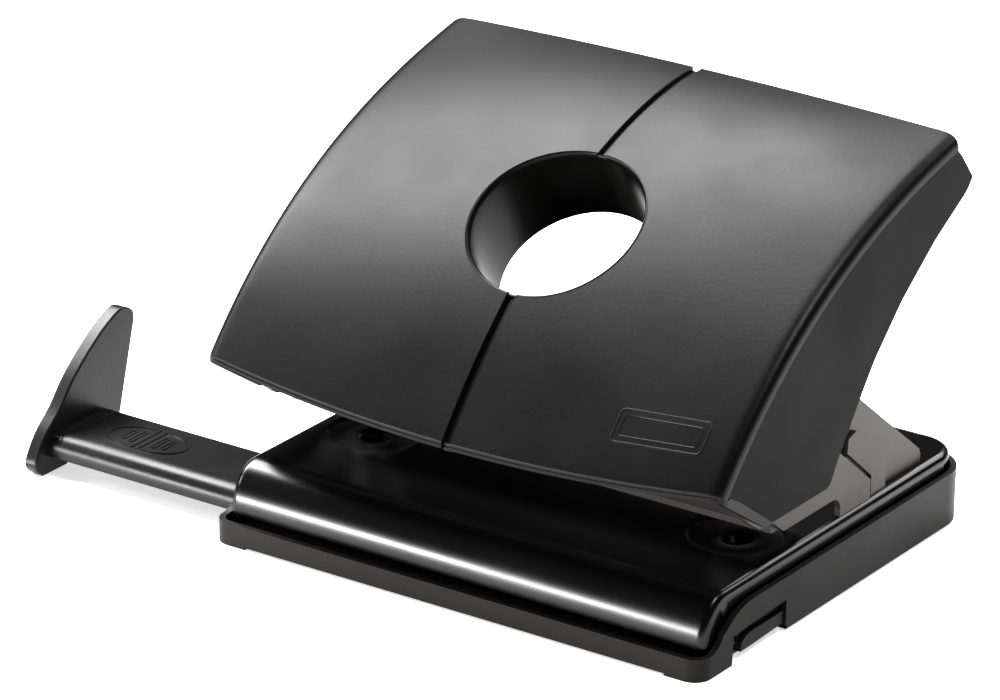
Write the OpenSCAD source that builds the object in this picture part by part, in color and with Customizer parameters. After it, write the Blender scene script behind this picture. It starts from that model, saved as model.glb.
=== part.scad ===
// Two-hole desk paper punch with a sliding paper guide and a chip tray.
// Units are millimetres, +Z is up, +Y points to the back, +X is to the right.
// The origin is the middle of the tray's footprint on the table.

/* [Tray and deck] */
// Outer width of the chip tray
tray_w = 107.3; // [107:0.1:108]
// Outer depth of the chip tray
tray_d = 97; // [97:0.1:98]
// Height of the tray's side and rear rim
rim_z = 10.8; // [10.4:0.1:11]
// Height of the tray's front wall
front_z = 4.43; // [4.2:0.01:4.6]
// Wall thickness of the tray
tray_wall = 1.2; // [1.1:0.1:1.3]
// Height of the deck's upper face
deck_z = 14.2; // [14.2:0.05:14.3]
// Thickness of the deck's sheet
sheet = 1.2; // [1:0.1:1.3]

/* [Punches] */
// Distance between the two punched holes
hole_spacing = 80; // [79:0.5:81]
// Radius of the shallow recess round each hole
dimple_r = 9.3; // [9:0.1:9.5]
// Radius of a punch pin
pin_r = 2.75; // [2.5:0.05:2.75]
// Depth of paper between the holes' centres and the paper stop
paper_margin = 12; // [11.5:0.1:12]

/* [Handle] */
// Outer width of the handle cover
cover_w = 111.68; // [111.6:0.02:111.8]
// Clear radius of the round hole at the handle's face
grip_r = 16.9; // [16:0.1:16.9]
// Radius of the pivot axle
axle_r = 2.5; // [2.3:0.05:2.5]

/* [Guide] */
// X of the guide fin's outer face, the guide being pushed out by this much
guide_out = 100; // [98:0.5:102]
// Height of the guide fin
fin_top = 26.5; // [26:0.1:27]

/* [Hidden] */
$fn = 64;
hx = hole_spacing / 2;
hole_y = -15.2;
stop_y = hole_y + paper_margin;
under = deck_z - sheet;
deck_hw = 52.1;
deck_back = 46.8;
roll_y = -38;
roll_r = 7.2;
pivot = [-29, 31.5];
rod = [hole_y, 35.5];
hinge = [45.4, 11];
grip = [-16.05, 65.58];
grip_tilt = 33.2;
rivets = [[16.8, 17.4], [8, 26.2]];
black = [0.06, 0.06, 0.07];
grey = [0.2, 0.19, 0.19];
dark = [0.13, 0.125, 0.125];
steel = [0.62, 0.63, 0.65];

// Extrude a (Y, Z) outline along X between two X values.
module along_x(x0, x1) {
    translate([x0, 0, 0])
        rotate([90, 0, 90])
            linear_extrude(x1 - x0)
                children();
}

// Round bar along X through a (Y, Z) point.
module bar_x(x0, x1, at, r) {
    translate([x0, at[0], at[1]])
        rotate([0, 90, 0])
            cylinder(h = x1 - x0, r = r);
}

// Plate between two X values, drawn on the right and mirrored to the left.
module both_sides(x0, x1) {
    along_x(x0, x1)
        children();
    along_x(-x1, -x0)
        children();
}

// Box from its two opposite corners.
module span(a, b) {
    translate(a)
        cube(b - a);
}

// Ring standing on z0.
module ring(x, y, z0, z1, r_out, r_in) {
    translate([x, y, z0])
        difference() {
            cylinder(h = z1 - z0, r = r_out);
            translate([0, 0, -1])
                cylinder(h = z1 - z0 + 2, r = r_in);
        }
}

// ---------------------------------------------------------------- deck

// Side view of the deck grown outwards to radius r of the front roll.
module deck_side(r, back, low) {
    translate([roll_y, deck_z - roll_r])
        circle(r);
    polygon([[roll_y - r, deck_z - roll_r], [roll_y - r, low], [back, low],
             [back, deck_z - roll_r + r], [roll_y, deck_z - roll_r + r],
             [roll_y, deck_z - roll_r]]);
}

// Plan of the deck with rounded rear corners.
module deck_plan() {
    corner = 7.5;
    polygon([[-deck_hw, -60], [deck_hw, -60], [deck_hw, deck_back - corner],
             [deck_hw - corner, deck_back], [corner - deck_hw, deck_back],
             [-deck_hw, deck_back - corner]]);
    for (s = [-1, 1])
        translate([s * (deck_hw - corner), deck_back - corner])
            circle(corner);
}

module base_plate() {
    fold = 1.5;
    color(black)
    difference() {
        union() {
            difference() {
                intersection() {
                    along_x(-60, 60)
                        deck_side(roll_r, 60, 5);
                    translate([0, 0, -1])
                        linear_extrude(40)
                            deck_plan();
                    translate([0, 60, 0])
                        rotate([90, 0, 0])
                            linear_extrude(130)
                                union() {
                                    polygon([[-deck_hw, 0], [deck_hw, 0], [deck_hw, deck_z - fold],
                                             [deck_hw - fold, deck_z], [fold - deck_hw, deck_z],
                                             [-deck_hw, deck_z - fold]]);
                                    for (s = [-1, 1])
                                        translate([s * (deck_hw - fold), deck_z - fold])
                                            circle(fold);
                                }
                }
                along_x(sheet - deck_hw, deck_hw - sheet)
                    deck_side(roll_r - sheet, 70, 0);
                // The flanges stop above the tray's floor and before its rear wall.
                span([-60, -60, -9], [60, roll_y, 5]);
                span([-60, roll_y - 1, -9], [60, 60, 6.2]);
                span([-60, 39, 0], [60, 60, under]);
            }
            // Metal pressed down under each recess.
            for (s = [-1, 1])
                translate([s * hx, hole_y, under - 0.4])
                    cylinder(h = 0.8, r = dimple_r + 1);
        }
        for (s = [-1, 1]) {
            translate([s * hx, hole_y, deck_z - 0.8])
                cylinder(h = 2, r = dimple_r);
            translate([s * hx, hole_y, 0])
                cylinder(h = 20, r = pin_r + 0.45);
        }
        // Window for the guide rail in the left flange.
        span([-60, -42.4, 2.8], [-48, -23.2, 8.4]);
    }
}

// Hardened die disc fixed under a recess.
module die(s) {
    color(steel)
    ring(s * hx, hole_y, under - 1.6, under - 0.4, 8, pin_r + 0.08);
}

module die_left() {
    die(-1);
}

module die_right() {
    die(1);
}

// ---------------------------------------------------------------- punch head

// Outline of the head frame's side plate.
module head_outline() {
    throat = 18.4;
    end_r = 2.8;
    difference() {
        polygon([[-17.4, throat], [2.6 - end_r, throat], [2.6, throat - end_r], [2.6, deck_z],
                 [13.3, deck_z], [13.3, 18], [-4.5, 32], [-5.5, 41], [-24, 43],
                 [-35.5, 39], [-38.1, 30.9], [-26, 21.7], [-21.2, 21.2]]);
        translate(pivot)
            circle(axle_r + 0.02);
        // Slot that lets the press rod swing.
        translate([rod[0] + 0.3, 28.3])
            circle(3.3);
        translate([rod[0] + 0.3, 35.6])
            circle(3.3);
        translate([rod[0] - 3, 28.3])
            square([6.6, 7.3]);
        // Rounded end of the throat.
        translate([2.6 - end_r, throat - end_r])
            circle(end_r);
    }
}

module head_frame() {
    color(grey)
    difference() {
        union() {
            both_sides(50, 51.2)
                head_outline();
            // Shelf that holds the pins, and the slanted tie in front of the axle.
            span([-50.1, -20, 18.5], [50.1, -6, 20]);
            along_x(-50.1, 50.1)
                polygon([[-30, 24.75], [-29.3, 25.5], [-35.5, 30.2], [-36.1, 29.4]]);
        }
        for (s = [-1, 1])
            translate([s * hx, hole_y, 10])
                cylinder(h = 20, r = 4.2);
    }
}

module rear_bracket() {
    color(dark)
    union() {
        both_sides(48.8, 49.9)
            difference() {
                polygon([[6, deck_z], [34, deck_z], [34, 15.8], [33.3, 17.1],
                         [1, 41.7], [-1, 40], [-1, 33], [6, 26]]);
                for (at = rivets)
                    translate(at)
                        circle(0.9);
            }
        // Low web that lies on the deck between the side plates.
        span([-49, 14, deck_z], [49, 30, deck_z + 1.1]);
    }
}

// Small plate riveted outside the rear bracket.
module gusset(x0, x1) {
    color(grey)
    along_x(x0, x1)
        difference() {
            polygon([[14.2, deck_z], [14.2, 18.4], [5, 25.8], [5.3, 28.6], [8, 29.3],
                     [19.2, 20.4], [19.6, deck_z]]);
            for (at = rivets)
                translate(at)
                    circle(0.9);
        }
}

module gusset_left() {
    gusset(-50.8, -49.95);
}

module gusset_right() {
    gusset(49.95, 50.8);
}

module paper_stop() {
    color(grey)
    difference() {
        span([-44, stop_y, deck_z], [44, stop_y + 1.5, 18.45]);
        for (x = [-30, 0, 30])
            span([x - 6, stop_y - 1, 17.4], [x + 6, stop_y + 3, 20]);
    }
}

// Flush rivets through each gusset and the rear bracket's side plate.
module bracket_rivets() {
    color(grey)
    for (at = rivets) {
        both_sides(48.7, 50.8)
            translate(at)
                circle(0.9);
        both_sides(48.3, 48.8)
            translate(at)
                circle(1.6);
    }
}

// Domed rivets that hold the low web of the rear bracket on the deck.
module deck_rivets() {
    color(steel)
    for (x = [-36, -12, 12, 36])
        translate([x, 22, deck_z + 1.1])
            intersection() {
                cylinder(h = 1, r = 2.4);
                translate([0, 0, -2.2])
                    sphere(3.2);
            }
}

// ---------------------------------------------------------------- punch pins

// Sleeve pressed into the frame that guides a pin.
module guide_bush(s) {
    color(steel)
    ring(s * hx, hole_y, 18.5, 22.4, 4.2, pin_r + 0.05);
}

module guide_bush_left() {
    guide_bush(-1);
}

module guide_bush_right() {
    guide_bush(1);
}

// Hollow ended pin with a domed head and a groove for its collar.
module punch(s) {
    color(steel)
    translate([s * hx, hole_y, 0])
        rotate_extrude()
            polygon([[0, 20.2], [pin_r - 0.5, 18.7], [pin_r, 18.7], [pin_r, 30.2],
                     [pin_r - 0.4, 30.2], [pin_r - 0.4, 31], [pin_r, 31],
                     [pin_r, 32.4], [pin_r - 0.45, 32.85], [0, 32.85]]);
}

module punch_left() {
    punch(-1);
}

module punch_right() {
    punch(1);
}

// Snap ring in the pin's groove, which the return spring pushes up.
module collar(s) {
    color(dark)
    ring(s * hx, hole_y, 30.2, 31, 5.9, pin_r - 0.4);
}

module collar_left() {
    collar(-1);
}

module collar_right() {
    collar(1);
}

// Return spring round the bush and the pin.
module spring(s) {
    turns = 4;
    wire = 0.3;
    mean = 5;
    z0 = 20 + wire + 0.02;
    z1 = 30.2 - wire - 0.02;
    steps = 56;
    sides = 5;
    pts = [for (i = [0 : steps])
              let (a = 360 * turns * i / steps, z = z0 + (z1 - z0) * i / steps)
              for (j = [0 : sides - 1])
                  let (b = 360 * j / sides, rr = mean + wire * cos(b))
                  [rr * cos(a), rr * sin(a), z + wire * sin(b)]];
    skin = [for (i = [0 : steps - 1])
               for (j = [0 : sides - 1])
                   let (k = (j + 1) % sides, a = i * sides, b = a + sides)
                   for (tri = [[a + j, b + j, b + k], [a + j, b + k, a + k]])
                       tri];
    color(steel)
    translate([s * hx, hole_y, 0])
        polyhedron(pts, concat(skin, [[for (j = [0 : sides - 1]) j]],
                               [[for (j = [sides - 1 : -1 : 0]) steps * sides + j]]));
}

module spring_left() {
    spring(-1);
}

module spring_right() {
    spring(1);
}

// ---------------------------------------------------------------- lever and axle

module pivot_axle() {
    color(steel)
    difference() {
        bar_x(-52.95, 52.95, pivot, axle_r);
        // Grooves for the clips inside the frame.
        for (s = [-1, 1])
            along_x(s * 49.3 - 0.45, s * 49.3 + 0.45)
                difference() {
                    translate(pivot)
                        circle(axle_r + 1);
                    translate(pivot)
                        circle(axle_r - 0.5);
                }
    }
}

module axle_clips() {
    color(dark)
    for (s = [-1, 1])
        along_x(s * 49.3 - 0.45, s * 49.3 + 0.45)
            difference() {
                translate(pivot)
                    circle(4.2);
                translate(pivot)
                    circle(axle_r - 0.5);
            }
}

// Outline of the lever's cheeks.
module cheek_outline() {
    difference() {
        polygon([[-43.6, 34.6], [-42.9, 33.3], [-30.9, 24.4], [-29.5, 24], [-9, 27.5],
                 [-6, 33], [0, 42], [14, 57], [26, 66], [24, 72], [8, 67], [-14, 58.5],
                 [-30, 46.5], [-41, 36.5]]);
        translate(pivot)
            circle(axle_r + 0.05);
        translate(rod)
            circle(2.5);
    }
}

module lever_frame() {
    color(dark)
    difference() {
        union() {
            both_sides(51.6, 52.9)
                cheek_outline();
            // Front and rear webs that tie the cheeks together under the cover.
            along_x(-51.7, 51.7)
                polygon([[-41, 36.5], [-30, 46.5], [-30.9, 47.5], [-42.2, 37.2]]);
            along_x(-51.7, 51.7)
                polygon([[9.4, 66.2], [23.6, 70.6], [23.2, 71.8], [9, 67.4]]);
        }
        screw_places()
            cylinder(h = 4, r = 1.3, center = true);
    }
}

module press_rod() {
    color(steel)
    bar_x(-52.9, 52.9, rod, 2.5);
}

// ---------------------------------------------------------------- handle cover

// Side outline of the cover.  Cubic curve through the lip and the top edge.
function bezier(a, b, c, d, t) =
    pow(1 - t, 3) * a + 3 * pow(1 - t, 2) * t * b + 3 * (1 - t) * t * t * c + pow(t, 3) * d;

// Ridge line of the cover at the middle of its width, moved inwards by "deep".
function ridge(deep, n) =
    [for (i = [0 : n])
        let (t = i / n,
             p = bezier([-50.7, 34.2], [-28.8, 63.5], [-0.5, 80.2], [30.7, 82.5], t),
             q = bezier([-50.7, 34.2], [-28.8, 63.5], [-0.5, 80.2], [30.7, 82.5], t + 0.001),
             d = (q - p) / norm(q - p))
        p + deep * [d[1], -d[0]]];

// Direction of the barrel's far axis, seen from the side.
lean = 31;
far = 420;
anchor = [-10, 72];
lip = [-50.7, 34.2];
bow = 320;

// Turn an outline given in (Y, Z) into one with its axis far below the ridge.
function turned(p) =
    let (v = p - anchor)
    [far + v[0] * -sin(lean) + v[1] * cos(lean), v[0] * cos(lean) + v[1] * sin(lean)];

// Revolve an outline about the far axis, which bulges the panel across its width.
module barrel(outline) {
    sweep = 16;
    translate([0, anchor[0] + far * sin(lean), anchor[1] - far * cos(lean)])
        rotate([lean, 0, 0])
            rotate(a = -120, v = [1, 1, 1])
                rotate([0, 0, -sweep / 2])
                    rotate_extrude(angle = sweep, $fn = 720)
                        polygon([for (p = outline) turned(p)]);
}

// Side outline of the skirts.
module skirt_outline() {
    polygon(concat([[-46.1, 34.8], [-31.7, 25.3], [-9.2, 25.3], [-7, 29.4], [0.5, 39.7],
                    [5, 45.5], [14.1, 54.3], [25.2, 62.5], [36.4, 68.9], [37.4, 70.6],
                    [34.4, 79.2], [31.5, 80.4]],
                   [for (i = [10 : -1 : 1]) ridge(3.75, 12)[i]]));
}

module grip_axis(h0, h1, r) {
    translate([0, grip[0], grip[1]])
        rotate([grip_tilt, 0, 0])
            translate([0, 0, h0])
                cylinder(h = h1 - h0, r = r);
}

module handle_cover() {
    hw = cover_w / 2;
    wall = 2.2;
    color([0.12, 0.12, 0.13])
    difference() {
        union() {
            intersection() {
                barrel(concat(ridge(0, 12), [for (i = [12 : -1 : 0]) ridge(wall, 12)[i]]));
                span([-hw, -80, 20], [hw, 80, 100]);
                // The front lip is bowed forwards at its middle.
                translate([0, lip[0] + bow * 0.6, lip[1] + bow * 0.8])
                    rotate([53.13, 0, 0])
                        cylinder(h = 200, r = bow, center = true, $fn = 360);
            }
            both_sides(53.3, hw)
                skirt_outline();
            screw_places()
                translate([0, 0, 1.35])
                    cylinder(h = 7.6, r = 3);
        }
        grip_axis(-30, 30, grip_r + 1);
        screw_places()
            cylinder(h = 7.5, r = 1.2);
    }
}

// Puts a thing at each cover screw, its axis square to the lever's rear web.
module screw_places() {
    for (x = [-30, 30])
        translate([x, 15.4, 68.06])
            rotate([17.2, 0, 0])
                children();
}

// Tapered sleeve of the round hole.
module hole_sleeve() {
    color(dark)
    translate([0, grip[0], grip[1]])
        rotate([grip_tilt, 0, 0])
            rotate_extrude()
                polygon([[grip_r, 0.9], [grip_r + 1, 0.9], [grip_r + 1, -16.9],
                         [grip_r - 1, -16.9], [grip_r - 0.1, -1]]);
}

// Screws that hold the cover on the lever's webs.
module cover_screws() {
    color(steel)
    screw_places()
        union() {
            translate([0, 0, -1.6])
                cylinder(h = 1.6, r = 3);
            cylinder(h = 7.4, r = 1.2);
        }
}

// ---------------------------------------------------------------- paper guide

// Pressed channel under the deck in which the rail slides.
module guide_bracket() {
    color(dark)
    difference() {
        union() {
            span([-48, -43.2, 2.2], [48, -22.4, 9.2]);
            // Hanger that joins the channel to the deck.
            span([-24, -23.5, 9.1], [24, -22.4, under]);
        }
        span([-50, -42.1, 3.1], [50, -23.5, 8.2]);
        // Slot for the rail's peg and window for the leaf spring.
        span([-15.6, -34.7, 1], [46.4, -30.9, 4]);
        span([-40.5, -38.4, 8], [-27.5, -27.2, 10]);
    }
}

module guide_rail() {
    x_in = 3 - guide_out;
    rail_l = 103.5;
    color(dark)
    union() {
        difference() {
            span([x_in - 0.2, -41.7, 3.5], [x_in + rail_l, -23.9, 7.8]);
            // Lightened underside.
            span([x_in + 22, -39.7, 2], [x_in + rail_l - 7, -25.9, 6.6]);
        }
        along_x(-guide_out, x_in)
            polygon([[-36, 0], [-43.3, 0], [-45.1, 1.5], [-45.5, 3.5], [-42.7, 8],
                     [-38.1, 12.2], [-34, 16.9], [-29.4, 20.8], [-24.3, 24.3],
                     [-20.4, fin_top - 0.3], [-19, fin_top], [-17.4, fin_top - 0.2],
                     [-15.1, fin_top - 1.4], [-14.6, 23.4], [-19.1, 5.3], [-22.5, 2.6],
                     [-33, 2.6]]);
    }
}

// Peg under the rail's end that keeps it in its channel.
module guide_stop() {
    color(steel)
    translate([103 - guide_out, -32.8, 2.5])
        cylinder(h = 1, r = 1.5);
}

// Bowed leaf that presses on the rail so that it stays where it is put.
module guide_spring() {
    color(steel)
    along_x(-40, -28)
        polygon([[-41, 9.2], [-38.2, 9.2], [-34, 8.15], [-31.6, 8.15], [-27.4, 9.2],
                 [-24.6, 9.2], [-24.6, 9.6], [-27.6, 9.6], [-31.7, 8.55], [-33.9, 8.55],
                 [-38, 9.6], [-41, 9.6]]);
}

// ---------------------------------------------------------------- chip tray

// Plan of the tray shrunk by "deep", tight corners in front and round ones behind.
module tray_plan(deep) {
    front = 3.5 - deep;
    back = 9.5 - deep;
    w = tray_w / 2 - deep;
    d = tray_d / 2 - deep;
    polygon([[-w, front - d], [front - w, -d], [w - front, -d], [w, front - d],
             [w, d - back], [w - back, d], [back - w, d], [-w, d - back]]);
    for (s = [-1, 1]) {
        translate([s * (w - front), front - d])
            circle(front);
        translate([s * (w - back), d - back])
            circle(back);
    }
}

module chip_tray() {
    w = tray_w / 2;
    color(dark)
    difference() {
        union() {
            difference() {
                translate([0, 0, 0.4])
                    linear_extrude(rim_z - 0.4)
                        tray_plan(0);
                translate([0, 0, 1.6])
                    linear_extrude(20)
                        tray_plan(tray_wall);
            }
            // Feet under the two front corners.
            intersection() {
                linear_extrude(1)
                    tray_plan(0);
                for (x = [-54, 46])
                    span([x, -49, 0], [x + 8, -37.8, 1]);
            }
            // Lugs of the rear hinge.
            for (x = [-30, 30])
                along_x(x - 2.5, x + 2.5)
                    union() {
                        translate(hinge)
                            circle(1.6);
                        polygon([[hinge[0] - 1.6, hinge[1]], [hinge[0] - 1.6, 9],
                                 [tray_d / 2 - 1, 4], [tray_d / 2 - 1, 9.4],
                                 [hinge[0] + 1, hinge[1] + 1]]);
                    }
            // Bosses for the catch's pin.
            span([50.2, -39, 1.2], [w - 1, -37.6, 5]);
            span([50.2, -19.3, 1.2], [w - 1, -18, 5]);
        }
        // Low front with a swept rim, hollow below and crowned above.
        along_x(-60, 60)
            difference() {
                polygon([[-60, front_z], [-45.2, front_z], [-40.3, 7.45], [-31, rim_z],
                         [-31, 30], [-60, 30]]);
                translate([-31, rim_z - 14.2])
                    circle(14.2);
            }
        along_x(-60, 60)
            intersection() {
                translate([-45.2, front_z + 4.6])
                    circle(4.6);
                translate([-45.2, front_z])
                    square([3.9, 3]);
            }
        // Notch for the guide rail on the left.
        span([-60, -42.4, 2.8], [-50, -23.2, 20]);
        // Opening for the catch on the right, with a small round relief at its rear end.
        along_x(51.6, 60)
            polygon([[-37.8, -1], [-37.5, 5.5], [-33.7, 5.9], [-19.5, 6.3], [-19.5, -1]]);
        span([49, -37.5, 1.1], [52, -19.5, 5.7]);
        translate([45, -19.6, 0.9])
            rotate([0, 90, 0])
                cylinder(h = 15, r = 0.55);
        translate([51.3, -38.6, 2.9])
            rotate([-90, 0, 0])
                cylinder(h = 20.5, r = 0.8);
        for (x = [-30, 30])
            bar_x(x - 5, x + 5, hinge, 0.87);
        // Shallow seat for the rubber mat.
        translate([0, 0, -1])
            linear_extrude(1.6)
                square([90, 80], center = true);
    }
}

// Hinge pins with the small hangers that hold them under the deck.
module tray_hinge_pins() {
    color(steel)
    for (x = [-30, 30])
        union() {
            bar_x(x - 4, x + 4, hinge, 0.8);
            for (s = [-1, 1])
                along_x(x + s * 3.4 - 0.6, x + s * 3.4 + 0.6)
                    polygon([[hinge[0] - 1.3, hinge[1] - 1.3], [hinge[0] + 0.7, hinge[1] - 1.3],
                             [hinge[0] + 0.7, under], [hinge[0] - 3, under]]);
        }
}

module tray_catch() {
    color(dark)
    difference() {
        union() {
            along_x(50.2, 53.2)
                polygon([[-34.3, 1.3], [-34, 2.9], [-32.6, 3.8], [-31, 4.1], [-19.9, 4.1],
                         [-19.9, 1.7], [-31, 1.3]]);
            span([50.2, -34.3, 3], [52.2, -19.9, 5.3]);
            // Hook that rises behind the deck's flange.
            span([49.3, -34, 3], [50.3, -24, 7.8]);
        }
        translate([51.3, -50, 2.9])
            rotate([-90, 0, 0])
                cylinder(h = 50, r = 0.86);
    }
}

module catch_pin() {
    color(steel)
    translate([51.3, -38.6, 2.9])
        rotate([-90, 0, 0])
            cylinder(h = 20.5, r = 0.8);
}

// Thin rubber mat let into the tray's underside.
module base_mat() {
    color([0.1, 0.1, 0.1])
    translate([0, 0, 0.3])
        cube([89.6, 79.6, 0.6], center = true);
}

base_plate();
die_left();
die_right();
head_frame();
rear_bracket();
gusset_left();
gusset_right();
paper_stop();
deck_rivets();
bracket_rivets();
guide_bush_left();
guide_bush_right();
punch_left();
punch_right();
collar_left();
collar_right();
spring_left();
spring_right();
pivot_axle();
axle_clips();
lever_frame();
press_rod();
handle_cover();
hole_sleeve();
cover_screws();
guide_bracket();
guide_rail();
guide_stop();
guide_spring();
chip_tray();
tray_hinge_pins();
tray_catch();
catch_pin();
base_mat();
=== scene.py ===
"""Looks of the two-hole desk punch: its cover, deck, guide and tray in full detail, in a studio.

Shapes are built in millimetres, and fill() turns them into metres.
"""

import math

import bmesh
import bpy
from mathutils import Matrix, Vector


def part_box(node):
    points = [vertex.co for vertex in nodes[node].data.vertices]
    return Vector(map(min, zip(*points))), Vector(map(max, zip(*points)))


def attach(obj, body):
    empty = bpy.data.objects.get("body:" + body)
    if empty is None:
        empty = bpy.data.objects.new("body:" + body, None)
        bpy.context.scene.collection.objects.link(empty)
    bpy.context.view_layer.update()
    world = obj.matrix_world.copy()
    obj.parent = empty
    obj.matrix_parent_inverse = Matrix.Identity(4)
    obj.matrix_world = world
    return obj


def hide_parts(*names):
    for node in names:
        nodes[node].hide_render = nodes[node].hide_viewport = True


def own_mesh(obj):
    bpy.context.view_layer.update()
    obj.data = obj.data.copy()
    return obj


MM = 0.001
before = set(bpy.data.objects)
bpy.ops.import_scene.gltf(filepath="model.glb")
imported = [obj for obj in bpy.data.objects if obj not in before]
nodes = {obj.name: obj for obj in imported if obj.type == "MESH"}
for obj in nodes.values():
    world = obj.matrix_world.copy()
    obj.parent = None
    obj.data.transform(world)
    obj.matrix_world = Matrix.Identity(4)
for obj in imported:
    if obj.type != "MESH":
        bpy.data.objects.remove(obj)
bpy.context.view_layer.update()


def box_mm(node):
    """Lowest and highest corner of a CAD node in millimetres."""
    low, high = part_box(node)
    return low / MM, high / MM


# ------------------------------------------------------------------ materials

# Tones and roughness are spread over this middle part of a noise's range.
NOISE_LOW, NOISE_HIGH = 0.3, 0.7


def shader(name, base, roughness, metallic=0.0, specular=0.5):
    """A new material with its Principled shader's fixed values set."""
    material = bpy.data.materials.new(name)
    material.use_nodes = True
    tree = material.node_tree
    bsdf = tree.nodes["Principled BSDF"]
    bsdf.inputs["Base Color"].default_value = (*base, 1)
    bsdf.inputs["Roughness"].default_value = roughness
    bsdf.inputs["Metallic"].default_value = metallic
    bsdf.inputs["Specular IOR Level"].default_value = specular
    return material, tree, bsdf


def noise(tree, scale, detail=3.0, stretch=(1, 1, 1)):
    """Noise over the object's own coordinates, in cells per metre."""
    place = tree.nodes.new("ShaderNodeTexCoord")
    mapping = tree.nodes.new("ShaderNodeMapping")
    mapping.inputs["Scale"].default_value = stretch
    texture = tree.nodes.new("ShaderNodeTexNoise")
    texture.inputs["Scale"].default_value = scale
    texture.inputs["Detail"].default_value = detail
    tree.links.new(place.outputs["Object"], mapping.inputs["Vector"])
    tree.links.new(mapping.outputs["Vector"], texture.inputs["Vector"])
    return texture.outputs["Fac"]


def roughen(tree, value, low, high, bsdf):
    """Drives the roughness from low to high."""
    node = tree.nodes.new("ShaderNodeMapRange")
    node.inputs["From Min"].default_value = NOISE_LOW
    node.inputs["From Max"].default_value = NOISE_HIGH
    node.inputs["To Min"].default_value = low
    node.inputs["To Max"].default_value = high
    tree.links.new(value, node.inputs["Value"])
    tree.links.new(node.outputs["Result"], bsdf.inputs["Roughness"])


def tint(tree, value, dark, light, bsdf):
    """Drives the base colour between two tones."""
    ramp = tree.nodes.new("ShaderNodeValToRGB")
    stops = zip(ramp.color_ramp.elements, (NOISE_LOW, NOISE_HIGH), (dark, light))
    for element, position, tone in stops:
        element.position = position
        element.color = (*tone, 1)
    tree.links.new(value, ramp.inputs["Fac"])
    tree.links.new(ramp.outputs["Color"], bsdf.inputs["Base Color"])


def bump(tree, value, bsdf, depth):
    """Raises the surface by depth metres where value is 1."""
    node = tree.nodes.new("ShaderNodeBump")
    node.inputs["Strength"].default_value = 1.0
    node.inputs["Distance"].default_value = depth
    tree.links.new(value, node.inputs["Height"])
    tree.links.new(node.outputs["Normal"], bsdf.inputs["Normal"])


def grained(name, dark, light, roughness, specular, grain, depth):
    """Sprayed or moulded finish with a fine grain and slow changes of roughness."""
    material, tree, bsdf = shader(name, light, roughness, specular=specular)
    fine = noise(tree, grain, 2.0)
    slow = noise(tree, 45.0, 4.0)
    tint(tree, fine, dark, light, bsdf)
    roughen(tree, slow, roughness - 0.03, roughness + 0.05, bsdf)
    bump(tree, fine, bsdf, depth)
    return material


def lacquer(name, base, roughness):
    """Deep gloss lacquer with a faint orange peel."""
    material, tree, bsdf = shader(name, base, roughness)
    slow = noise(tree, 30.0, 4.0)
    roughen(tree, slow, roughness - 0.02, roughness + 0.04, bsdf)
    bump(tree, noise(tree, 900.0, 1.0), bsdf, 0.0000025)
    return material


def turned_steel(name, base, roughness, stretch):
    """Plain steel with fine drawing marks along one direction."""
    material, tree, bsdf = shader(name, base, roughness, metallic=1.0)
    marks = noise(tree, 2600.0, 3.0, stretch)
    light = tuple(c * 1.25 for c in base)
    tint(tree, marks, base, light, bsdf)
    roughen(tree, marks, roughness, roughness + 0.14, bsdf)
    bump(tree, marks, bsdf, 0.000004)
    return material


# Dark and light tone, then roughness, specular level, grain in cells per metre and its depth in metres.
COVER = grained("cover_paint", (0.003, 0.003, 0.0034), (0.006, 0.0058, 0.0062),
                0.37, 0.25, 1500.0, 0.000018)
# The skirts get a copy of the cover paint with far lower specular and more roughness. This is painted
# shade that keeps the flat skirts dark where the floor would light them.
SHADED_SKIRT = grained("skirt_shaded_paint", (0.003, 0.0028, 0.0027), (0.006, 0.0055, 0.0053),
                0.47, 0.08, 2600.0, 0.000012)
FRAME = grained("frame_paint", (0.034, 0.0305, 0.0285), (0.046, 0.0415, 0.039),
                0.42, 0.5, 2400.0, 0.00001)
SLEEVE = grained("sleeve_dark", (0.004, 0.0038, 0.0036), (0.007, 0.0065, 0.006),
                 0.30, 0.3, 1800.0, 0.000006)
GUIDE = grained("guide_plastic", (0.006, 0.0058, 0.0058), (0.010, 0.0095, 0.0095),
                0.33, 0.4, 1500.0, 0.00002)
TRAY = grained("tray_plastic", (0.012, 0.0108, 0.0102), (0.018, 0.0162, 0.0153),
               0.45, 0.25, 2000.0, 0.00001)
RUBBER = grained("mat_rubber", (0.012, 0.012, 0.012), (0.018, 0.018, 0.018),
                 0.75, 0.3, 1200.0, 0.00003)
DECK = lacquer("deck_gloss", (0.0015, 0.0015, 0.0016), 0.23)
STEEL_X = turned_steel("steel_drawn_x", (0.42, 0.42, 0.43), 0.26, (0.04, 1, 1))
STEEL_Z = turned_steel("steel_turned_z", (0.42, 0.42, 0.43), 0.24, (1, 1, 6))
DARK_STEEL = turned_steel("steel_dark", (0.10, 0.10, 0.10), 0.36, (1, 1, 0.1))


def paint(node, material):
    """Gives a CAD node its finish."""
    mesh = nodes[node].data
    mesh.materials.clear()
    mesh.materials.append(material)


def soften(thing, width, angle=35.0, segments=3):
    """Small rounded edges, so that they catch the light."""
    bevel = thing.modifiers.new("edges", "BEVEL")
    bevel.width = width * MM
    bevel.segments = segments
    bevel.limit_method = "ANGLE"
    bevel.angle_limit = math.radians(angle)
    bevel.harden_normals = True


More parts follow.
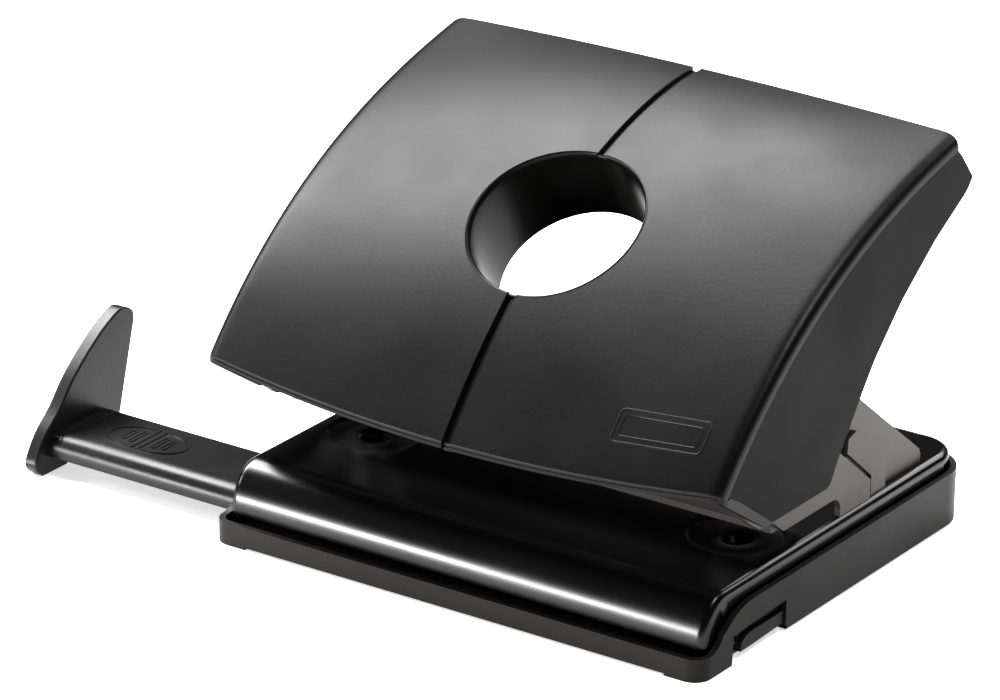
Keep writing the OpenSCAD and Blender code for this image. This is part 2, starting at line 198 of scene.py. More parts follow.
FINISH = {
    "head_frame": FRAME, "gusset_left": FRAME, "gusset_right": FRAME, "rear_bracket": FRAME,
    "lever_frame": FRAME, "paper_stop": FRAME, "bracket_rivets": FRAME, "guide_bracket": FRAME,
    "press_rod": STEEL_X, "pivot_axle": STEEL_X, "axle_clips": DARK_STEEL,
    "deck_rivets": STEEL_Z, "guide_bush_left": STEEL_Z, "guide_bush_right": STEEL_Z,
    "punch_left": STEEL_Z, "punch_right": STEEL_Z, "collar_left": DARK_STEEL,
    "collar_right": DARK_STEEL, "die_left": STEEL_Z, "die_right": STEEL_Z,
    "cover_screws": DARK_STEEL, "guide_stop": STEEL_Z, "guide_spring": STEEL_X,
    "tray_hinge_pins": STEEL_X, "catch_pin": STEEL_X, "chip_tray": TRAY, "tray_catch": TRAY,
    "base_mat": RUBBER,
}
FOLDED_STEEL = ("head_frame", "gusset_left", "gusset_right", "rear_bracket", "lever_frame")
MOULDED = ("chip_tray", "tray_catch")

for node_name, finish in FINISH.items():
    paint(node_name, finish)
for node_name in FOLDED_STEEL:
    soften(nodes[node_name], 0.2)
for node_name in MOULDED:
    soften(nodes[node_name], 0.25, 30.0)


# ------------------------------------------------------------------ mesh tools


def piece(name, body, slot, material, *replaced):
    """An empty mesh object that rides on a body; fill() gives it its shape."""
    thing = bpy.data.objects.new(name, bpy.data.meshes.new(name))
    bpy.context.scene.collection.objects.link(thing)
    thing.data.materials.append(material)
    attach(thing, body)
    if replaced:
        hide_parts(*replaced)
    return thing


def fill(thing, build, sharp=35.0, weld=0.004):
    """Runs build(bm), welds the seams and shades the result smooth below a sharp angle."""
    bm = bmesh.new()
    build(bm)
    bmesh.ops.remove_doubles(bm, verts=bm.verts, dist=weld)
    bmesh.ops.recalc_face_normals(bm, faces=bm.faces)
    bmesh.ops.scale(bm, vec=(MM, MM, MM), verts=bm.verts)
    limit = math.radians(sharp)
    for face in bm.faces:
        face.smooth = True
    for edge in bm.edges:
        edge.smooth = not edge.is_manifold or edge.calc_face_angle(0.0) < limit
    bm.to_mesh(thing.data)
    bm.free()
    return thing


def quads(bm, rows, close=False):
    """Faces between rows of points; close joins the last row to the first."""
    lines = [[bm.verts.new(p) for p in row] for row in rows]
    if close:
        lines.append(lines[0])
    faces = []
    for a, b in zip(lines, lines[1:]):
        for i in range(len(a) - 1):
            faces.append(bm.faces.new((a[i], a[i + 1], b[i + 1], b[i])))
    return faces


def plate(bm, outline, x0, x1):
    """Flat plate with the given (Y, Z) outline between two X values."""
    near, far = ([bm.verts.new((x, p[0], p[1])) for p in outline] for x in (x0, x1))
    bm.faces.new(near)
    bm.faces.new(far)
    for i in range(len(outline)):
        k = (i + 1) % len(outline)
        bm.faces.new((near[i], near[k], far[k], far[i]))


def thicken(thing, name, thickness):
    """Gives a surface its wall, on the inner side."""
    wall = thing.modifiers.new(name, "SOLIDIFY")
    wall.thickness = thickness * MM
    wall.offset = -1
    wall.use_even_offset = False


def mix(a, b, f):
    """Point at the share f of the way from a to b."""
    return tuple(p + (q - p) * f for p, q in zip(a, b))


def steps_between(a, b, count):
    """count even steps from a towards b, b itself left out."""
    return [a + (b - a) * i / count for i in range(count)]


def corner(start, middle, end, steps):
    """Points of a rounded corner that starts and ends along its two sides."""
    out = []
    for i in range(steps + 1):
        f = i / steps
        out.append(start * (1 - f) ** 2 + middle * 2 * f * (1 - f) + end * f * f)
    return out


def rounded(points, radius, steps=5):
    """The open outline with its inner corners rounded, by less where a side is short."""
    out = [Vector(points[0])]
    for a, b, c in zip(points, points[1:], points[2:]):
        a, b, c = Vector(a), Vector(b), Vector(c)
        r = min(radius, (a - b).length / 2.1, (c - b).length / 2.1)
        start, end = b + (a - b).normalized() * r, b + (c - b).normalized() * r
        out += corner(start, b, end, steps)
    out.append(Vector(points[-1]))
    return out


def closed_round(points, radius, steps):
    """Closed outline with rounded corners."""
    ring = rounded(points[-1:] + points + points[:1], radius, steps)
    return ring[1:-1]


def through(points, steps):
    """Smooth curve that passes through every one of the points."""
    ends = [Vector(points[0]) * 2 - Vector(points[1])]
    ends += [Vector(p) for p in points] + [Vector(points[-1]) * 2 - Vector(points[-2])]
    out = []
    for a, b, c, d in zip(ends, ends[1:], ends[2:], ends[3:]):
        for i in range(steps):
            f = i / steps
            out.append((b * 2 + (c - a) * f + (a * 2 - b * 5 + c * 4 - d) * f * f
                        + (b * 3 - a - c * 3 + d) * f ** 3) / 2)
    return out + [Vector(points[-1])]


def resampled(points, count):
    """count + 1 points spaced evenly along the outline."""
    lengths = [0.0]
    for a, b in zip(points, points[1:]):
        lengths.append(lengths[-1] + (b - a).length)
    out = []
    k = 0
    for i in range(count + 1):
        s = lengths[-1] * i / count
        while k < len(points) - 2 and lengths[k + 1] < s:
            k += 1
        f = (s - lengths[k]) / max(1e-9, lengths[k + 1] - lengths[k])
        out.append(points[k].lerp(points[k + 1], max(0.0, min(1.0, f))))
    return out


# ------------------------------------------------------------------ handle cover

HALF = box_mm("handle_cover")[1].x
# The round hole: its middle, radius and tilt, and the radius at which the cover's sheet ends.
GRIP = Vector((0, -16.05, 65.58))
GRIP_R = 16.9
GRIP_TILT = math.radians(33.2)
CLEAR_R = GRIP_R + 0.25
ALONG = Vector((0, math.cos(GRIP_TILT), math.sin(GRIP_TILT)))
AXIS = Vector((0, -math.sin(GRIP_TILT), math.cos(GRIP_TILT)))
# The groove down the middle: half its width, and its depth.
GROOVE = 1.0
GROOVE_DEEP = 0.85
# The face: its rounded border, the flat skirt's step inwards, and where the border's rounding begins.
FILLET = 3.0
STEP_IN = 0.25
FLAT = HALF - FILLET
# Control points (Y, Z) of the face's middle line, from the front lip to the top edge.
RIDGE = [(-50.7, 34.2), (-28.8, 63.5), (-0.5, 80.2), (30.7, 82.5)]
# Drop from the middle line to the sides, as control numbers, and the bow of both ends.
EDGE_DEPTH = [3.9, 4.36, 8.5, 4.6]
BOW = (4.3, 1.3)
# The face's length, and the rounding of its two corners at the top edge.
LENGTH = 101.0
TOP_ROUND = 0.9
# Lower edge of the skirts as (Y, Z), its end at the rear, and the radius of its corners.
SKIRT_LOW = [(-44.9, 33.9), (-31.7, 25.3), (-9.2, 25.3), (-7, 29.4), (0.5, 39.7), (5, 45.5),
             (14.1, 54.3), (25.2, 62.5), (36.4, 68.9)]
SKIRT_TAIL = (38.1, 71.1)
SKIRT_ROUND = 1.6
# How fine the mesh is: across both ends and from hole to border. TS are the places along the
# sides, closer together at the rear, and BORDER the places across the rounded border.
ENDS = 22
RINGS = 26
EVEN_STEPS, CLOSE_STEPS = 146, 9
CLOSE_PART = 0.02
TS = [(1 - CLOSE_PART) * i / EVEN_STEPS for i in range(EVEN_STEPS)]
TS += [1 - CLOSE_PART * (1 - i / CLOSE_STEPS) ** 1.6 for i in range(CLOSE_STEPS + 1)]
SIDES = len(TS) - 1
BORDER_STEPS = 12
BORDER = [FLAT + FILLET * math.sin(k / BORDER_STEPS * math.pi / 2) ** (2 / 3)
          for k in range(BORDER_STEPS + 1)]
# The lip: the length of its turn, and the front below it with its fine groove as (back, down).
# The groove fades out towards each side, over this share of the rounded border.
LIP_TURN = 0.45
LIP_FADE = 0.8
LIP_STEPS = [(0.0, 0.22), (0.16, 0.26), (0.16, 0.44), (0.0, 0.48), (0.03, 1.12)]


def bernstein(values, t):
    """Cubic through four control numbers."""
    s = 1 - t
    return sum(w * v for w, v in zip((s ** 3, 3 * s * s * t, 3 * s * t * t, t ** 3), values))


def ridge_point(t):
    """Point of the cover's middle line as (Y, Z)."""
    return Vector((bernstein([p[0] for p in RIDGE], t), bernstein([p[1] for p in RIDGE], t)))


def ridge(t):
    """Point, direction and outward normal of the cover's middle line, as (Y, Z)."""
    here = ridge_point(t)
    way = (ridge_point(t + 0.001) - ridge_point(t - 0.001)).normalized()
    return here, way, Vector((-way.y, way.x))


def narrowing(t):
    """How much the face is narrower near its top edge, where its corners are rounded."""
    above = TOP_ROUND - (1 - t) * LENGTH
    if above <= 0:
        return 0.0
    return TOP_ROUND - math.sqrt(max(0.0, TOP_ROUND ** 2 - above ** 2))


def skin(t, x, sink=0.0):
    """Point of the cover's face at t along it and x across, sunk by a depth."""
    here, way, out = ridge(t)
    depth = bernstein(EDGE_DEPTH, t) - FILLET
    shift = BOW[0] * (1 - t) + BOW[1] * t
    reach = abs(x)
    if reach <= FLAT:
        down = depth * (reach / FLAT) ** 2
    else:
        slope = 2 * depth / FLAT
        turn = min(1.0, (reach - FLAT) / FILLET)
        round_off = 1 - (1 - turn ** 3) ** (1 / 3)
        down = depth + FILLET * (slope * turn + (1 - slope) * round_off)
    at = here + way * shift * (reach / HALF) ** 2 - out * (down + sink)
    return Vector((x, at.x, at.y))


def hole_edge(angle, radius):
    """(x, t) where the round hole's wall meets the cover's face."""
    x = radius * math.cos(angle)
    want = radius * math.sin(angle)
    low, high = 0.0, 1.0
    for _ in range(40):
        t = (low + high) / 2
        if (skin(t, x) - GRIP).dot(ALONG) < want:
            low = t
        else:
            high = t
    return x, t


def panel_half(bm, side):
    """One half of the curved face, in lines from the hole to the border.

    Gives the places along the groove below and above the hole.
    """
    first = math.acos(GROOVE / CLEAR_R)
    border = [(x, 0.0) for x in steps_between(GROOVE, FLAT, ENDS)]
    border += [(FLAT - narrowing(t), t) for t in TS[:-1]]
    top = FLAT - TOP_ROUND
    border += [(top + (GROOVE - top) * i / ENDS, 1.0) for i in range(ENDS + 1)]
    count = len(border) - 1
    rows = []
    for i, edge in enumerate(border):
        inner = hole_edge(-first + 2 * first * i / count, CLEAR_R)
        row = []
        for k in range(RINGS + 1):
            x, t = mix(inner, edge, k / RINGS)
            row.append(skin(t, x * side))
        rows.append(row)
    quads(bm, rows)
    return [[mix(hole_edge(angle, CLEAR_R), edge, k / RINGS)[1] for k in range(RINGS + 1)]
            for angle, edge in ((-first, border[0]), (first, border[-1]))]


def groove(bm, stations):
    """Groove through the given places along the face, its upper edges slightly eased."""
    ease = 0.15
    shape = [(-GROOVE, 0), (ease - GROOVE, ease), (ease - GROOVE, GROOVE_DEEP), (0, GROOVE_DEEP),
             (GROOVE - ease, GROOVE_DEEP), (GROOVE - ease, ease), (GROOVE, 0)]
    quads(bm, [[skin(t, x, sink) for x, sink in shape] for t in stations])


def flank(bm, side):
    """Rounded border of the face, its fine step, and the flat skirt below it in a darker, less
    reflective copy of the cover paint: painted shade.
    """
    low_line = rounded(SKIRT_LOW + [SKIRT_TAIL], SKIRT_ROUND)
    lower = resampled(low_line, SIDES)
    levels, narrowed = 12, 5
    rows = []
    for i, t in enumerate(TS):
        inset = Vector((side * narrowing(t), 0, 0))
        row = [skin(t, side * x) - inset for x in BORDER]
        edge = row[-1]
        for k in range(levels + 1):
            y, z = mix(edge.yz, lower[i], k / levels)
            x = min(HALF - STEP_IN, HALF - narrowing(t) * max(0.0, 1 - k / narrowed) ** 2)
            row.append(Vector((side * x, y, z)))
        rows.append(row)
    for face in quads(bm, rows):
        # Faces of the flat skirt take the second slot, the copy of the cover paint that paints shade on
        # them.
        if all(abs(abs(v.co.x) - HALF + STEP_IN) < 0.01 for v in face.verts):
            face.material_index = 1


def lip_drop(point, way):
    """Line of points that turns from the face down into the lip's narrow, grooved front."""
    line = []
    start = math.atan2(-way.y, -way.x)
    end = math.atan2(-1.0, 0.05)
    at = Vector((point.y, point.z))
    steps = 5
    for k in range(steps + 1):
        line.append(Vector((point.x, at.x, at.y)))
        angle = start + (end - start) * (k + 0.5) / steps
        at = at + Vector((math.cos(angle), math.sin(angle))) * LIP_TURN / steps
    last = line[-1]
    share = max(0.0, min(1.0, 1 - (abs(point.x) - FLAT) / (LIP_FADE * FILLET)))
    line += [Vector((point.x, last.y + back * share, last.z - down)) for back, down in LIP_STEPS]
    return line


def lip(bm):
    """The narrow front under the lip, round its two rounded corners to the skirts."""
    way = ridge(0.0)[1]
    for side in (-1, 1):
        xs = steps_between(GROOVE, FLAT, ENDS) + BORDER
        quads(bm, [lip_drop(skin(0.0, x * side), way) for x in xs])
    quads(bm, [lip_drop(skin(0.0, x, GROOVE_DEEP), way) for x in (-GROOVE, 0, GROOVE)])


def build_cover(bm):
    """Both halves with their skirts, the groove between them and the lip."""
    for side in (-1, 1):
        below, above = panel_half(bm, side)
        flank(bm, side)
    groove(bm, below)
    groove(bm, above)
    lip(bm)


cover = piece("cover_shell", "handle", "cover_paint", COVER, "handle_cover")
# Second slot: the skirts' darker copy of the cover paint, painted shade.
cover.data.materials.append(SHADED_SKIRT)
fill(cover, build_cover)
thicken(cover, "wall", 1.5)
soften(cover, 0.2, 50.0, 2)


def build_strips(bm):
    """Raised strip along the front lower edge of each skirt, just inside the cover's width."""
    thick, inside = 0.8, 0.02
    outline = rounded([(-45.0, 35.0), (-45.05, 33.7), (-31.7, 25.2), (-28.9, 25.2), (-41.0, 33.5),
                       (-44.3, 35.3), (-45.0, 35.0)], 0.35, 4)[:-1]
    for side in (-1, 1):
        plate(bm, outline, side * (HALF - STEP_IN - thick), side * (HALF - inside))


# The badge: its place across and along the face, half its size and its corners' radius.
MARK_X, MARK_T = 40.0, 0.095
MARK_WIDE, MARK_HIGH, MARK_ROUND = 8.9, 3.0, 0.9
# About how many millimetres a whole t would be, measured at the badge.
MARK_SCALE = 98.0
# Across a raised line: offset in half widths, and height over the face.
MARK_LINE = ((-1, -0.05), (-0.55, 0.07), (0.55, 0.07), (1, -0.05))


def mark_frame(w, h, r, half_line):
    """Rounded frame on the face, in lines of points across its raised line."""
    corners = ((w - r, h - r, 0), (r - w, h - r, 90), (r - w, r - h, 180), (w - r, r - h, 270))
    lines = []
    for cx, cy, turn in corners:
        for k in range(9):
            angle = math.radians(turn + 90 * k / 8)
            line = []
            for off, high in MARK_LINE:
                u = cx + (r + off * half_line) * math.cos(angle)
                v = cy + (r + off * half_line) * math.sin(angle)
                line.append(skin(MARK_T + v / MARK_SCALE, MARK_X + u, -high))
            lines.append(line)
    return lines


def build_mark(bm):
    """Blank raised badge line in place of lettering: one rounded frame inside another."""
    for grow, half_line in ((0.0, 0.22), (-1.15, 0.14)):
        lines = mark_frame(MARK_WIDE + grow, MARK_HIGH + grow, MARK_ROUND + 0.3 * grow, half_line)
        finer = []
        for a, b in zip(lines, lines[1:] + lines[:1]):
            for k in range(6):
                finer.append([p.lerp(q, k / 6) for p, q in zip(a, b)])
        quads(bm, finer, close=True)


# ------------------------------------------------------------------ round sleeve

# Profile as (radius added to the hole's, height): the rim follows the face, the foot is level.
SLEEVE_RIM = [(0.9, -1.6), (0.55, -0.6), (0.42, 0.0), (0.28, 0.13), (0.1, 0.1), (-0.08, -0.12),
              (-0.3, -0.75), (-0.42, -1.2)]
SLEEVE_FOOT = [(-0.85, -15.9), (-0.95, -16.6), (-0.6, -16.9), (0.6, -16.9), (0.9, -16.3)]
NOTCH_DEEP = 0.4
# Just inside and just outside the notch's edge, in half widths of the notch.
INSIDE, OUTSIDE = 0.98, 1.02
ROUND_STEPS = 84


def lift(angle):
    """Height of the cover's face over the hole's flat circle."""
    x, t = hole_edge(angle, CLEAR_R)
    return (skin(t, x) - GRIP).dot(AXIS)


def build_sleeve(bm):
    """Turned sleeve: slim bead, chamfer and tapered bore, notched where the groove meets it."""
    notch = math.asin(GROOVE / GRIP_R)
    angles = []
    for turn in (math.pi / 2, 3 * math.pi / 2):
        angles += [turn + f * notch for f in (-OUTSIDE, -INSIDE, 0, INSIDE, OUTSIDE)]
        rest = math.pi - 2 * OUTSIDE * notch
        angles += [turn + OUTSIDE * notch + rest * k / ROUND_STEPS for k in range(1, ROUND_STEPS)]
    rows = []
    for a in angles:
        out = Vector((math.cos(a), 0, 0)) + ALONG * math.sin(a)
        up = lift(a) - (NOTCH_DEEP if abs(GRIP_R * math.cos(a)) < GROOVE else 0.0)
        rim = [(r, h + up) for r, h in SLEEVE_RIM]
        ring = rim + SLEEVE_FOOT + rim[:1]
        rows.append([GRIP + out * (GRIP_R + r) + AXIS * h for r, h in ring])
    quads(bm, rows, close=True)


fill(piece("sleeve_ring", "handle", "sleeve_dark", SLEEVE, "hole_sleeve"), build_sleeve, 50.0)
strips = fill(piece("cover_strips", "handle", "cover_paint", COVER), build_strips)
soften(strips, 0.1, 35.0, 2)
fill(piece("cover_mark", "handle", "cover_paint", COVER), build_mark, 60.0)


# ------------------------------------------------------------------ deck

# The flat top: its height, half width, rear end and the radius of its rear corners.
DECK_TOP = 14.2
INNER_W = 50.6
INNER_BACK = 45.3
CORNER = 6.0
CORNER_STEPS = 12
# The front roll: where it begins, how far it goes forward and down, and where the sheet ends.
ROLL_Y, ROLL_R, ROLL_TALL = -38.0, 7.2, 9.0
ROLL_STEPS = 32
FRONT_LOW = 5.0
# The folded sides: radius of the fold, lower edge, and length at the roll's right and at the rear.
FOLD = 1.5
FOLD_STEPS = 7
FLANGE_Z = 6.2
FLANGE_ROLL = 5.0
FLANGE_REAR = 0.8
# The sides are short behind this line.
FLANGE_END_Y = 39
# The gap in the left side for the paper guide: its rear end and height, and at the roll its
# front end and height.
GUIDE_GAP_Y, GUIDE_GAP_Z = -23, 8.45
GUIDE_GAP_ROLL_Y, GUIDE_GAP_ROLL_Z = -42.4, 8.4
# The rear fold stays open by this angle, which fades in over this distance round the corners.
REAR_OPEN, REAR_FADE = 15.5, 3
BACK_STEPS = 40
# The punch holes: their places, and the square windows that hold the round recesses.
HOLE_X, HOLE_Y = 40, -15.2
PATCH = 10.2
PATCH_STEPS = 20
# The recess as (radius, depth), from its edge to the hole in its middle.
RECESS = ((9.42, 0.0), (9.3, 0.03), (9.15, 0.2), (8.95, 0.62), (8.8, 0.76), (8.6, 0.8),
          (6.0, 0.8), (3.45, 0.8), (3.25, 0.88), (3.2, 1.05), (3.2, 2.0))


def deck_rows():
    """(Y, Z, normal, half width) of each line across the deck, from back to front."""
    rows = []
    for k in range(CORNER_STEPS, 0, -1):
        angle = k / CORNER_STEPS * math.pi / 2
        rows.append((INNER_BACK - CORNER + CORNER * math.sin(angle), DECK_TOP, math.pi / 2,
                     INNER_W - CORNER + CORNER * math.cos(angle)))
    # Two close lines where the folded sides get longer, then even ones.
    ys = [39.3] + steps_between(38.9, HOLE_Y + PATCH, 9)
    ys += steps_between(HOLE_Y + PATCH, HOLE_Y - PATCH, PATCH_STEPS)
    ys += [HOLE_Y - PATCH, -31, -37.6]
    rows += [(y, DECK_TOP, math.pi / 2, INNER_W) for y in ys]
    for k in range(ROLL_STEPS + 1):
        turn = math.pi / 2 * k / ROLL_STEPS
        y, z = ROLL_R * math.sin(turn), ROLL_TALL * math.cos(turn)
        rows.append((ROLL_Y - y, DECK_TOP - ROLL_TALL + z,
                     math.atan2(z / ROLL_TALL ** 2, -y / ROLL_R ** 2), INNER_W))
    rows.append((ROLL_Y - ROLL_R, FRONT_LOW, math.pi, INNER_W))
    return rows


def flange_length(y, z, angle, side):
    """How far the side flange goes on past the fold at a point of the deck's edge."""
    if y < ROLL_Y - 0.01:
        if side > 0:
            return FLANGE_ROLL
        up, forward = max(math.sin(angle), 0.01), max(-math.cos(angle), 0.01)
        return max(0.02, (z - GUIDE_GAP_ROLL_Z) / up - FOLD, (GUIDE_GAP_ROLL_Y - y) / forward - FOLD)
    if y > FLANGE_END_Y:
        return FLANGE_REAR
    if side < 0 and y < GUIDE_GAP_Y:
        return DECK_TOP - FOLD - GUIDE_GAP_Z
    return DECK_TOP - FOLD - FLANGE_Z


def deck_top(bm, rows):
    """Flat top, front roll and front face, with square windows where the recesses go."""
    xs = [-INNER_W]
    for side in (-1, 1):
        start, end = side * HOLE_X - PATCH, side * HOLE_X + PATCH
        xs += steps_between(start, end, PATCH_STEPS) + [end]
        if side < 0:
            # The stretch between the two windows.
            xs += steps_between(-26, 30, 14)[:-1]
    xs += [INNER_W]
    grid = [[bm.verts.new((x * w / INNER_W, y, z)) for x in xs] for y, z, angle, w in rows]
    for (row_a, a), (row_b, b) in zip(zip(rows, grid), zip(rows[1:], grid[1:])):
        mid_y = (row_a[0] + row_b[0]) / 2
        for i in range(len(xs) - 1):
            mid_x = abs((xs[i] + xs[i + 1]) / 2)
            if abs(mid_x - HOLE_X) < PATCH and abs(mid_y - HOLE_Y) < PATCH:
                continue
            bm.faces.new((a[i], a[i + 1], b[i + 1], b[i]))


def deck_recess(bm, side):
    """Round recess inside its square window, down to the punch hole."""
    half = PATCH_STEPS // 2
    ticks = [k / half for k in range(-half, half)]
    border = [(1, f) for f in ticks] + [(-f, 1) for f in ticks]
    border += [(-1, -f) for f in ticks] + [(f, -1) for f in ticks]
    lines = []
    for u, v in border:
        angle = math.atan2(v, u)
        line = [(u * PATCH, v * PATCH, 0.0)]
        line += [(r * math.cos(angle), r * math.sin(angle), down) for r, down in RECESS]
        lines.append([(side * HOLE_X + x, HOLE_Y + y, DECK_TOP - d) for x, y, d in line])
    quads(bm, lines, close=True)


def deck_edge(rows, side):
    """(point, angle of the surface, way outwards, flange) along one side, from back to front."""
    edge = []
    for k, (y, z, angle, w) in enumerate(rows):
        turn = (CORNER_STEPS - k) / CORNER_STEPS * math.pi / 2 if k < CORNER_STEPS else 0.0
        out = Vector((side * math.cos(turn), math.sin(turn), 0))
        edge.append((Vector((side * w, y, z)), angle, out, flange_length(y, z, angle, side)))
    return edge


def deck_border(bm, rows):
    """Folded sides and back."""
    left, right = deck_edge(rows, -1), deck_edge(rows, 1)
    y, z, angle, w = rows[0]
    back = [(Vector((-w + 2 * w * k / BACK_STEPS, y, z)), angle, Vector((0, 1, 0)), FLANGE_REAR)
            for k in range(1, BACK_STEPS)]
    lines = []
    for point, angle, out, length in left[::-1] + back + right:
        normal = Vector((0, math.cos(angle), math.sin(angle)))
        rear = max(0.0, min(1.0, (point.y - INNER_BACK + CORNER) / REAR_FADE))
        full_turn = math.radians(90 - REAR_OPEN * rear)
        line = []
        for k in range(FOLD_STEPS + 1):
            turn = k / FOLD_STEPS * full_turn
            line.append(point + out * FOLD * math.sin(turn) - normal * FOLD * (1 - math.cos(turn)))
        line.append(line[-1] - normal * (length * (1 - rear) + 0.02))
        lines.append(line)
    quads(bm, lines)


def build_deck(bm):
    """The whole pressed sheet, without its thickness."""
    rows = deck_rows()
    deck_top(bm, rows)
    for side in (-1, 1):
        deck_recess(bm, side)
    deck_border(bm, rows)


deck = fill(piece("deck_shell", "base", "deck_gloss", DECK, "base_plate"), build_deck, 50.0)
thicken(deck, "sheet", 1.1)


# ------------------------------------------------------------------ paper guide

# X of the fin's two faces and of the rail's inner end, and the height of the rail's top.
FIN_OUT, FIN_IN = -100.0, -97.2
RAIL_END = 6.5
RAIL_TOP = 7.8
# Outlines as (Y, Z). The fin's is curved from its second to its thirteenth point.
FIN_SHAPE = [(-36, 0), (-43.3, 0), (-45.1, 1.5), (-45.5, 3.5), (-42.7, 8.0), (-38.1, 12.2),
             (-34.0, 16.9), (-29.4, 20.8), (-24.3, 24.3), (-19.7, 26.5), (-17.4, 26.5),
             (-15.1, 25.2), (-14.6, 23.4), (-19.1, 5.3), (-22.5, 2.6), (-33, 2.6)]
RAIL_SHAPE = [(-41.7, 3.5), (-41.7, 7.8), (-23.9, 7.8), (-23.9, 3.5), (-25.9, 3.5), (-25.9, 6.6),
              (-39.7, 6.6), (-39.7, 3.5)]
RAIL_ROUND = (0.3, 3.5, 0.6, 0.3, 0.2, 0.2, 0.2, 0.2)
RAIL_PLUG = [(-39.8, 3.5), (-39.8, 6.7), (-25.8, 6.7), (-25.8, 3.5)]


def build_fin(bm):
    """Upright fin that the paper's edge rests against."""
    curved = through(FIN_SHAPE[1:13], 6)
    straight = [Vector(p) for p in FIN_SHAPE[13:] + FIN_SHAPE[:1]]
    plate(bm, curved + straight, FIN_OUT, FIN_IN)


def build_rail(bm):
    """Hollow rail with rounded edges, and the plug that closes its inner end."""
    outline = []
    for k, radius in enumerate(RAIL_ROUND):
        behind, here = Vector(RAIL_SHAPE[k - 1]), Vector(RAIL_SHAPE[k])
        ahead = Vector(RAIL_SHAPE[(k + 1) % len(RAIL_SHAPE)])
        start = here + (behind - here).normalized() * radius
        end = here + (ahead - here).normalized() * radius
        outline += corner(start, here, end, 12)
    plate(bm, outline, FIN_IN - 0.1, RAIL_END)
    plate(bm, RAIL_PLUG, -0.5, RAIL_END - 0.05)


def ridge_line(bm, path, half_line, high):
    """Low raised line along a closed path on the rail's top."""
    lines = []
    count = len(path)
    for i in range(count):
        before, here, after = path[i - 1], path[i], path[(i + 1) % count]
        way = Vector((after[0] - before[0], after[1] - before[1])).normalized()
        out = Vector((way.y, -way.x))
        line = []
        for f, h in ((-1, -0.05), (-0.6, high), (0.6, high), (1, -0.05)):
            x, y = here[0] + out.x * half_line * f, here[1] + out.y * half_line * f
            line.append((x, y, RAIL_TOP + h))
        lines.append(line)
    quads(bm, lines, close=True)


# The middle, half length and width of a sign.
SIGN_Y, SIGN_HALF, SIGN_WIDE = -32, 4.7, 7.8
# Straight side's X and the way the round side goes, for each of the two signs.
SIGNS = ((-81.4, -1), (-79.9, 1))
# The two blank bars in a sign: distance from its straight side, and half their length.
BARS = ((1.9, 2.6), (3.9, 2.0))
BAR_HALF = 0.45
# Fine frame on the rail, beside the fin.
SIDE_FRAME = [(-96.2, -41.0), (-95.4, -41.0), (-94.8, -33.0), (-94.7, -24.4), (-96.2, -24.4)]


def sign_frame(flat_x, way):
    """Outline of one half-round sign: its straight side, then its round side."""
    path = [(flat_x, SIGN_Y + SIGN_HALF - 2 * SIGN_HALF * k / 12) for k in range(12)]
    for k in range(24):
        angle = math.pi * k / 24
        path.append((flat_x + way * SIGN_WIDE * math.sin(angle) ** 0.8,
                     SIGN_Y - SIGN_HALF * math.cos(angle)))
    return path


def ridge_frame(bm, points, radius, half_line, high):
    """Low raised line round a polygon with rounded corners."""
    ridge_line(bm, [tuple(p) for p in closed_round(points, radius, 3)], half_line, high)


def build_signs(bm):
    """Two raised half-round frames on the rail, each round a pair of blank bars, and the fine frame."""
    for flat_x, way in SIGNS:
        ridge_line(bm, sign_frame(flat_x, way), 0.36, 0.2)
        for shift, tall in BARS:
            x = flat_x + way * shift
            bar = [(x - BAR_HALF, SIGN_Y - tall), (x + BAR_HALF, SIGN_Y - tall),
                   (x + BAR_HALF, SIGN_Y + tall), (x - BAR_HALF, SIGN_Y + tall)]
            ridge_frame(bm, bar, 0.35, 0.2, 0.16)
    ridge_frame(bm, SIDE_FRAME, 0.4, 0.12, 0.08)


fin = fill(piece("guide_fin", "guide", "guide_plastic", GUIDE, "guide_rail"), build_fin)
soften(fin, 0.35, 45.0, 3)
fill(piece("guide_beam", "guide", "guide_plastic", GUIDE), build_rail, 30.0)
fill(piece("guide_signs", "guide", "guide_plastic", GUIDE), build_signs, 60.0)


# ------------------------------------------------------------------ return springs


# Turns of the coil and mesh steps in each, radius of the wire and of the coil, and both ends' heights.
COIL_TURNS = 4
COIL_STEPS = 44
WIRE_R, COIL_R = 0.3, 5.0
COIL_LOW, COIL_HIGH = 20.32, 29.88


def build_spring(bm, side):
    """Wire coil round one punch, closed at both ends."""
    count = COIL_STEPS * COIL_TURNS
    lines = []
    for i in range(count + 1):
        angle = 2 * math.pi * COIL_TURNS * i / count
        middle_z = COIL_LOW + (COIL_HIGH - COIL_LOW) * i / count
        line = []
        for k in range(11):
            b = 2 * math.pi * k / 10
            away = COIL_R + WIRE_R * math.cos(b)
            line.append((side * HOLE_X + away * math.cos(angle), HOLE_Y + away * math.sin(angle),
                         middle_z + WIRE_R * math.sin(b)))
        lines.append(line)
    quads(bm, lines)
    for line in (lines[0], lines[-1]):
        bm.faces.new([bm.verts.new(p) for p in line[:-1]])


for spring_side, spring_name in ((-1, "left"), (1, "right")):
    coil = piece("coil_" + spring_name, "base", "bright_steel", STEEL_Z, "spring_" + spring_name)
    fill(coil, lambda bm, side=spring_side: build_spring(bm, side), 40.0, 0.001)
    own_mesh(coil)


# ------------------------------------------------------------------ studio


def stand(place, right, up, back):
    """Where a lamp or camera stands and how it is turned: it looks away from back."""
    return Matrix.Translation(place) @ Matrix((right, up, back)).transposed().to_4x4()


def area_light(name, place, target, size, power, along=(1, 0, 0)):
    """Rectangular lamp facing a target, its long side turned as near to "along" as it goes."""
    data = bpy.data.lights.new(name, "AREA")
    data.shape = "RECTANGLE"
    data.size, data.size_y = size
    data.energy = power
    thing = bpy.data.objects.new(name, data)
    bpy.context.scene.collection.objects.link(thing)
    back = (Vector(place) - Vector(target)).normalized()
    up = back.cross(Vector(along)).normalized()
    thing.matrix_world = stand(place, up.cross(back), up, back)


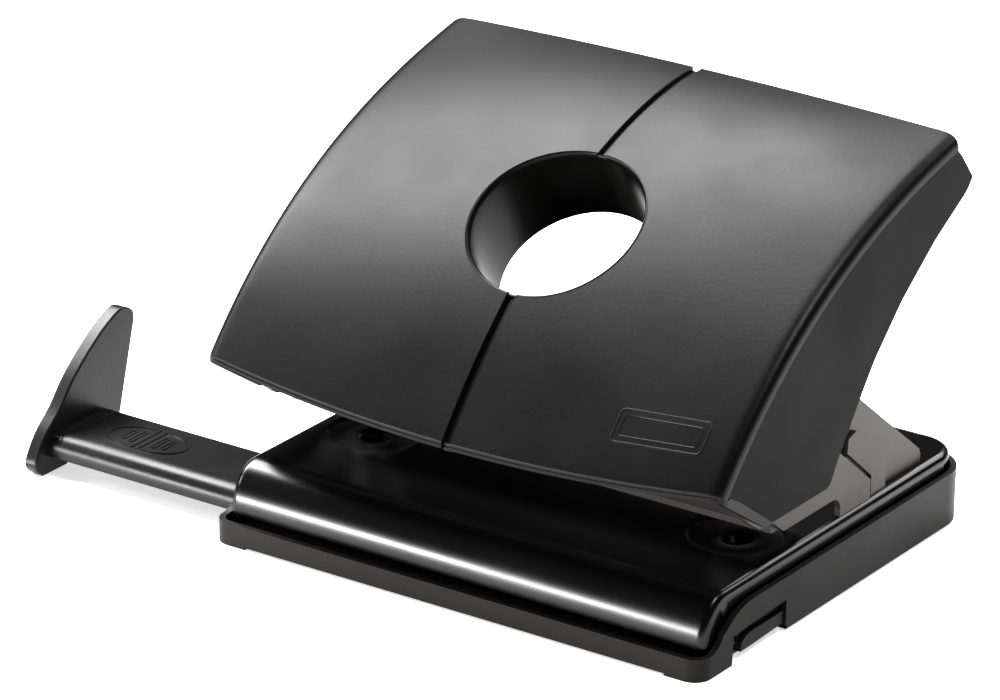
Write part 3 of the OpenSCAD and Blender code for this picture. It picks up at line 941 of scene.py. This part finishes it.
def studio():
    """White paper floor, faint white surroundings and eight lamps (metres and watts)."""
    floor = bpy.data.objects.new("floor", bpy.data.meshes.new("floor"))
    bpy.context.scene.collection.objects.link(floor)
    bm = bmesh.new()
    bmesh.ops.create_grid(bm, x_segments=2, y_segments=2, size=8.0)
    bm.to_mesh(floor.data)
    bm.free()
    material, tree, bsdf = shader("floor_paper", (0.92, 0.92, 0.92), 0.9, specular=0.1)
    bump(tree, noise(tree, 300.0), bsdf, 0.00005)
    bsdf.inputs["Emission Color"].default_value = (1, 1, 1, 1)
    bsdf.inputs["Emission Strength"].default_value = 0.7
    floor.data.materials.append(material)
    floor.location.z = -0.05 * MM
    world = bpy.data.worlds.new("studio")
    bpy.context.scene.world = world
    world.use_nodes = True
    sky = world.node_tree.nodes["Background"]
    sky.inputs["Color"].default_value = (1, 1, 1, 1)
    sky.inputs["Strength"].default_value = 0.03
    middle = (0, 0, 0.04)
    area_light("key_left", (-0.90, 0.41, 1.36), middle, (1.35, 0.66), 55, (0.62, 0.78, 0))
    area_light("key_fill", (-0.83, 0.1, 1.47), middle, (0.6, 0.4), 7)
    area_light("overhead", (0.6, 0.15, 1.6), middle, (0.8, 1.0), 7)
    area_light("rear_right", (0.15, 1.1, 0.82), middle, (1.0, 0.4), 9)
    area_light("key_low", (-1.26, -0.14, 1.12), middle, (0.5, 0.45), 14)
    area_light("low_left", (-1.36, -0.71, 0.75), middle, (0.4, 0.4), 9)
    area_light("near_right", (0.2, 0.0, 0.42), (0.09, -0.03, 0), (0.12, 0.12), 0.6)
    area_light("front_strip", (-0.55, -0.9, 0.045), (0, 0, 0.02), (0.5, 0.07), 10)


def camera():
    """Long lens at the photograph's viewing angle."""
    azimuth, elevation, roll = (math.radians(a) for a in (33.41, 21.93, 1.31))
    target = Vector((-20.56, -2.7, 31.42)) * MM
    distance = 1.1217
    back = Vector((math.sin(azimuth) * math.cos(elevation),
                   -math.cos(azimuth) * math.cos(elevation), math.sin(elevation)))
    right = Vector((math.cos(azimuth), math.sin(azimuth), 0))
    up = back.cross(right)
    turned_right = right * math.cos(roll) + up * math.sin(roll)
    turned_up = up * math.cos(roll) - right * math.sin(roll)
    data = bpy.data.cameras.new("camera")
    data.lens = 215.7
    data.sensor_width = 36
    thing = bpy.data.objects.new("camera", data)
    bpy.context.scene.collection.objects.link(thing)
    thing.matrix_world = stand(target + back * distance, turned_right, turned_up, back)
    bpy.context.scene.camera = thing


studio()
camera()
bpy.context.scene.view_settings.view_transform = "Standard"
bpy.context.scene.view_settings.gamma = 0.8
